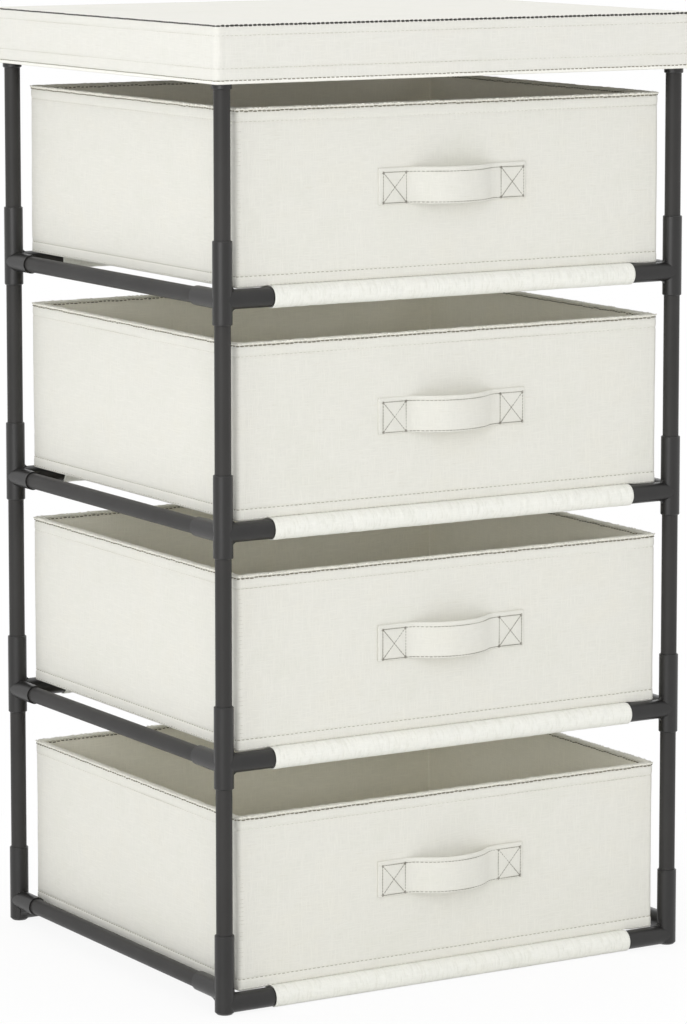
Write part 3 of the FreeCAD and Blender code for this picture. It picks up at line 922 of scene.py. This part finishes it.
def gathers_at(x, angle, inset, seed):
    """How far a sleeve stands off its round: gathered underneath, flatter in its hems."""
    gathers = step(angle, SLEEVE_TO, 245) * (0.3 + 0.7 * step(angle, 140, 220))
    pleat = drift(x, angle / 26, 0, 2.6, seed) * 0.45 + drift(x, angle / 40, 0, 5.5, seed + 3) * 0.22
    pleat += drift(x, angle / 8, 0, 30, seed) * 0.12
    hem = step(inset, SLEEVE_HEM, SLEEVE_HEM_FLAT)
    loose = pleat * gathers * (1 - hem * 0.7) + 0.12 * hem
    return loose - 0.25 * bump(inset, SLEEVE_HEM, 0.5) * gathers


def shelf(number):
    """A cloth panel, gathered on the front and rear tubes by a sleeve along each edge."""
    node = "cloth_shelf_%d" % number
    tubes = "cross_tubes_" + ("foot", "lower", "middle", "upper")[number - 1]
    low, high = box_mm(node)
    tube_low, tube_high = box_mm(tubes)
    axis = (tube_low[2] + tube_high[2]) / 2
    outer = high[2] - axis
    radius = outer - SHELF_CLOTH / 2
    ground = low[2] - axis + SHELF_CLOTH / 2
    front, rear = low[1] + outer, high[1] - outer
    profile = shelf_profile(front, rear, radius)
    left, right = low[0] + SHELF_ENDS, high[0] - SHELF_ENDS
    seed = number * 5.3
    rows = []
    for y, z, angle in profile:
        row = []
        edge_y = front if y < 0 else rear
        for index in range(SHELF_COLUMNS + 1):
            x = left + (right - left) * index / SHELF_COLUMNS
            point = Vector((x, y, z))
            if angle > 0:
                loose = gathers_at(x, angle, min(x - left, right - x), seed)
                out = Vector((0, y - edge_y, z)).normalized()
                point += out * loose
                point.z = min(max(point.z, ground), radius)
            elif z > radius - 0.5:
                middle = 1 - (2 * (y - front) / (rear - front) - 1) ** 2
                ends = math.sin(math.pi * index / SHELF_COLUMNS)
                point.z -= middle * (0.7 + 0.5 * ends) + abs(drift(x, y, 0, 38, seed)) * 0.25 * middle
            point.z += axis
            row.append(point)
        rows.append(row)
    skin = Skin()
    skin.rows(rows, closed=False)
    made = skin.piece("shelf_%d_cloth" % number, [shelf_cloth], "rack", "fabric", node)
    thick = made.modifiers.new("cloth", "SOLIDIFY")
    thick.thickness = SHELF_CLOTH * MM
    thick.offset = 0.0


# Lid

LID_CORNER = 4.0
LID_INNER_CORNER = 2.0
LID_SKIRT = 2.0
LID_HEM = 2.2
LID_HEM_PITCH = 3.6
LID_STITCH_TOP = 7.6
LID_STITCH_LOW = 11.1
LID_SPLITS = (56, 48)
LID_SWELL = 0.3
LID_RIPPLE = 0.12
LID_STITCH_SINK = 0.35
LID_FOLD_RISE = 0.2
LID_HEM_SINK = 0.5
LID_CORNER_SEAM_SINK = 0.22
LID_LIFT = 0.15          # the inner top cloth lies this far above the board's top
# Rows of points on the skirt: inside down from the top, outside up from the hem, and down from the top
LID_INNER_ROWS = (1.4, 5, 12, 20, 28, 34)
LID_LOW_ROWS = [1.0, 1.7, 2.2, 2.7, 3.2, 4.4, 6.4, 8.4, 9.6, 10.3, 10.7, 11.1, 11.5, 12.1, 13.6]
LID_LOW_ROWS += [17, 21, 25, 29]
LID_TOP_ROWS = (10.4, 8.8, 8.2, 7.6, 7.1, 6.4, 5, 3, 2.0, 1.2)
# The groove of the seam round the top: height over it, and push outward
LID_SEAM = ((-0.8, -0.3), (-0.5, -0.8), (0.1, -1.5))
# The top itself: how far in from the edge, and height
LID_CROWN = ((2.4, 0.25), (4, 0.5), (8, 0.55), (16, 0.45), (30, 0.2), (50, 0), (75, 0), (105, 0), (140, 0))


def lid_relief(bottom, top):
    """How far the skirt stands out from its plane."""
    def relief(point, out, lead):
        height = point.z - bottom
        drop = top - point.z
        push = drift(point.x, point.y, point.z, 60, 9) * LID_SWELL
        push += drift(point.x, point.y, point.z, 18, 4) * LID_RIPPLE
        push *= step(height, 4, 12) * step(drop, 3, 10)
        sink = LID_STITCH_SINK * bump(height, LID_STITCH_LOW, 0.8)
        push -= sink + LID_STITCH_SINK * bump(drop, LID_STITCH_TOP, 0.8)
        rise = LID_FOLD_RISE * step(LID_STITCH_LOW - height, 0, 2)
        push += rise + LID_FOLD_RISE * step(LID_STITCH_TOP - drop, 0, 2)
        push -= LID_HEM_SINK * bump(height, LID_HEM + 0.5, 0.6)
        push += 0.12 * drift(point.x, point.y, point.z, 5, 2) * bump(height, 1.1, 1.0)
        if lead >= 0:
            push -= LID_CORNER_SEAM_SINK * bump(lead, 3.6, 0.8)
        return push - 0.1
    return relief


def hem_roll(point, out, lead):
    """The rolled hem's unevenness at its lower edge."""
    return 0.15 * drift(point.x, point.y, 0, 5, 2)


def lid_crown(half_x, half_y, middle, top):
    """Rows over the top: full at the seam and a little slack in the middle."""
    rows = []
    for inset, lift in LID_CROWN:
        ring = Outline(half_x - inset, half_y - inset, middle, max(LID_CORNER - inset, 0.6), LID_SPLITS)
        points = ring.row(top + lift)
        for point in points:
            wave = drift(point.x, point.y, 0, 55, 1) * 0.25 + drift(point.x, point.y, 0, 20, 6) * 0.1
            point.z += wave * step(inset, 2, 20) - 0.2 * step(inset, 10, 60)
        rows.append(points)
    return rows


def lid():
    """The lid's cover: a taut top, a seam round its edge, a skirt with a hem and a rolled lower edge."""
    low, high = box_mm("lid_cover")
    board_top = box_mm("lid_board")[1][2]
    half_x, half_y, middle = plan(low, high)
    bottom, top = low[2], high[2]
    outer = Outline(half_x, half_y, middle, LID_CORNER, LID_SPLITS)
    inner_x, inner_y = half_x - LID_SKIRT, half_y - LID_SKIRT
    inner = Outline(inner_x, inner_y, middle, LID_INNER_CORNER, LID_SPLITS)
    rows = []
    for inset in (60.0, 20.0):
        ring = Outline(inner_x - inset, inner_y - inset, middle, LID_INNER_CORNER, LID_SPLITS)
        rows.append(ring.row(board_top + LID_LIFT))
    rows.append(inner.row(board_top + LID_LIFT, -0.6))
    for drop in LID_INNER_ROWS:
        rows.append(inner.row(top - drop))
    rows.append(inner.row(bottom + 1.6, 0.1))
    rows.append(inner.row(bottom + 0.5, 0.35))
    rows.append(between(outer, inner, 0.5, bottom))
    rows.append(outer.row(bottom + 0.4, -0.25, hem_roll))
    hem_strips = len(rows)
    heights = LID_LOW_ROWS + [top - bottom - drop for drop in LID_TOP_ROWS]
    relief = lid_relief(bottom, top)
    for height in heights:
        rows.append(outer.row(bottom + height, 0, relief))
    for rise, push in LID_SEAM:
        rows.append(outer.row(top + rise, push))
    rows += lid_crown(half_x, half_y, middle, top)
    hem = range(hem_strips - 4, hem_strips + 3)
    tags = [1 if strip in hem else 0 for strip in range(len(rows) - 1)]
    skin = Skin()
    skin.rows(rows, tags, caps=(True, True))
    skin.piece("lid_cloth", [lid_cloth, hem_cloth], "lid", "fabric", "lid_cover")
    lid_sewing(outer, bottom, top)


def lid_sewing(outer, bottom, top):
    """The dark seam round the lid's edge, two rows of stitches in its skirt and one over its hem."""
    pale, dark, edge = range(3)
    thread = Skin()
    seam_round(thread, outer, edge, top - 0.68, push=-0.35, length=3.8, radius=0.8, tilt=0.4, slim=0.8)
    seam_round(thread, outer, pale, top - LID_STITCH_TOP, push=-0.42, length=2.9, radius=0.22)
    seam_round(thread, outer, pale, bottom + LID_STITCH_LOW, push=-0.42, length=2.8, radius=0.23)
    seam_round(thread, outer, dark, bottom + LID_HEM + 0.45, push=-0.3, length=3.2, radius=0.34,
               pitch=LID_HEM_PITCH)
    thread.piece("lid_thread", [pale_thread, dark_thread, edge_thread], "lid", "fabric")


for number in BASKETS:
    basket_cloth(number)
    basket_base(number)
    basket_rim(number)
    basket_thread(number)
    basket_strap(number)
    shelf(number)
lid()

for name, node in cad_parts.items():
    if node.hide_render:
        continue
    if "connectors" in name:
        finish = plastic
    elif "tubes" in name:
        finish = steel
    else:
        finish = board
    node.data.materials.clear()
    node.data.materials.append(finish)


# Floor, light and camera, in metres

SPREAD = 6.0
FLOOR_DROP = 0.0003      # keeps the floor clear of the feet's undersides
FLOOR_COLOUR = (0.92, 0.92, 0.915, 1)
FLOOR_WHITE = 0.9        # how much of the floor under the object is plain white
FADE_FROM, FADE_TO = 0.22, 0.5
AMBIENT = 0.675
CENTRE = (0, 0, 0.38)
STRIPE_AIM = (0, 0, 0.45)


def direct_rays(tree):
    """1 for what the camera sees, straight or through a reflection or a clear piece, else 0."""
    rays = tree.nodes.new("ShaderNodeLightPath")
    seen = rays.outputs["Is Camera Ray"]
    for kind in ("Is Glossy Ray", "Is Transmission Ray"):
        either = tree.nodes.new("ShaderNodeMath")
        either.operation = "MAXIMUM"
        tree.links.new(seen, either.inputs[0])
        tree.links.new(rays.outputs[kind], either.inputs[1])
        seen = either.outputs[0]
    return seen


def ground_paint():
    """Pale floor that shows soft shadow near the object and runs into a white background."""
    material = bpy.data.materials.new("floor")
    material.use_nodes = True
    tree = material.node_tree
    tree.nodes.clear()
    add = tree.nodes.new
    out = add("ShaderNodeOutputMaterial")
    mixer = add("ShaderNodeMixShader")
    diffuse = add("ShaderNodeBsdfDiffuse")
    diffuse.inputs["Color"].default_value = FLOOR_COLOUR
    white = add("ShaderNodeEmission")
    white.inputs["Strength"].default_value = 1.0
    place = add("ShaderNodeTexCoord")
    reach = add("ShaderNodeVectorMath")
    reach.operation = "LENGTH"
    fade = add("ShaderNodeMapRange")
    fade.interpolation_type = "SMOOTHSTEP"
    fade.inputs["From Min"].default_value = FADE_FROM
    fade.inputs["From Max"].default_value = FADE_TO
    fade.inputs["To Min"].default_value = FLOOR_WHITE
    fade.inputs["To Max"].default_value = 1.0
    share = add("ShaderNodeMath")
    share.operation = "MULTIPLY"
    link = tree.links.new
    link(place.outputs["Object"], reach.inputs[0])
    link(reach.outputs["Value"], fade.inputs["Value"])
    link(direct_rays(tree), share.inputs[0])
    link(fade.outputs[0], share.inputs[1])
    link(share.outputs[0], mixer.inputs[0])
    link(diffuse.outputs[0], mixer.inputs[1])
    link(white.outputs[0], mixer.inputs[2])
    link(mixer.outputs[0], out.inputs["Surface"])
    return material


scene = bpy.context.scene
corners = [(-SPREAD, -SPREAD, 0), (SPREAD, -SPREAD, 0), (SPREAD, SPREAD, 0), (-SPREAD, SPREAD, 0)]
floor_mesh = bpy.data.meshes.new("floor")
floor_mesh.from_pydata(corners, [], [(0, 1, 2, 3)])
floor_mesh.materials.append(ground_paint())
floor = bpy.data.objects.new("floor", floor_mesh)
floor.location.z = -FLOOR_DROP
scene.collection.objects.link(floor)

scene.view_settings.view_transform = "Standard"

world = bpy.data.worlds.new("studio")
world.use_nodes = True
scene.world = world
sky = world.node_tree
backdrop = sky.nodes["Background"]
backdrop.inputs["Color"].default_value = (1, 1, 1, 1)
level = sky.nodes.new("ShaderNodeMapRange")
level.inputs["To Min"].default_value = AMBIENT
level.inputs["To Max"].default_value = 1.0
sky.links.new(direct_rays(sky), level.inputs["Value"])
sky.links.new(level.outputs[0], backdrop.inputs["Strength"])


def softbox(name, place, size, watts, aim=CENTRE, mirrored=True, lit=True):
    """A rectangular lamp. mirrored: glossy surfaces reflect it. lit: it lights dull ones."""
    lamp = bpy.data.lights.new(name, "AREA")
    lamp.shape = "RECTANGLE"
    lamp.size, lamp.size_y = size
    lamp.energy = watts
    made = bpy.data.objects.new(name, lamp)
    made.location = place
    made.rotation_euler = (Vector(aim) - Vector(place)).to_track_quat("-Z", "Y").to_euler()
    made.visible_glossy = mirrored
    made.visible_diffuse = lit
    scene.collection.objects.link(made)


softbox("key", (-2.05, -2.0, 1.7), size=(1.5, 1.8), watts=10)
softbox("front_fill", (-1.78, -2.94, 0.86), size=(1.8, 0.3), watts=13.5, mirrored=False)
softbox("side_fill", (-3.1, -0.5, 1.0), size=(1.4, 1.6), watts=19, mirrored=False)
softbox("top", (0.0, 0.2, 2.6), size=(1.6, 1.6), watts=12.5)
softbox("rear_fill", (1.9, 1.9, 1.4), size=(1.5, 1.5), watts=5)
softbox("rim_light", (2.7, -0.2, 1.0), size=(1.4, 1.4), watts=8, mirrored=False)
softbox("right_fill", (1.5, -3.2, 0.95), size=(1.3, 1.3), watts=6.5, mirrored=False)
softbox("stripe", (-2.41, -1.79, 0.62), size=(1.8, 1.15), watts=19, aim=STRIPE_AIM, lit=False)

YAW = math.radians(31.24)
PITCH = math.radians(6.761)
LENS = 155.197
LONG_SIDE = 1024         # pixels, as are the shifts
SHIFT_RIGHT = -0.5
SHIFT_UP = -169.5
CAMERA_PLACE = (-1.7252, -2.8511, 0.8525)

camera_data = bpy.data.cameras.new("camera")
camera_data.sensor_fit = "AUTO"
camera_data.sensor_width = 36.0
camera_data.lens = LENS
camera_data.shift_x = SHIFT_RIGHT / LONG_SIDE
camera_data.shift_y = SHIFT_UP / LONG_SIDE
camera_data.clip_end = 50
camera = bpy.data.objects.new("camera", camera_data)
camera.location = CAMERA_PLACE
camera.rotation_euler = (math.pi / 2 - PITCH, 0, -YAW)
scene.collection.objects.link(camera)
scene.camera = camera
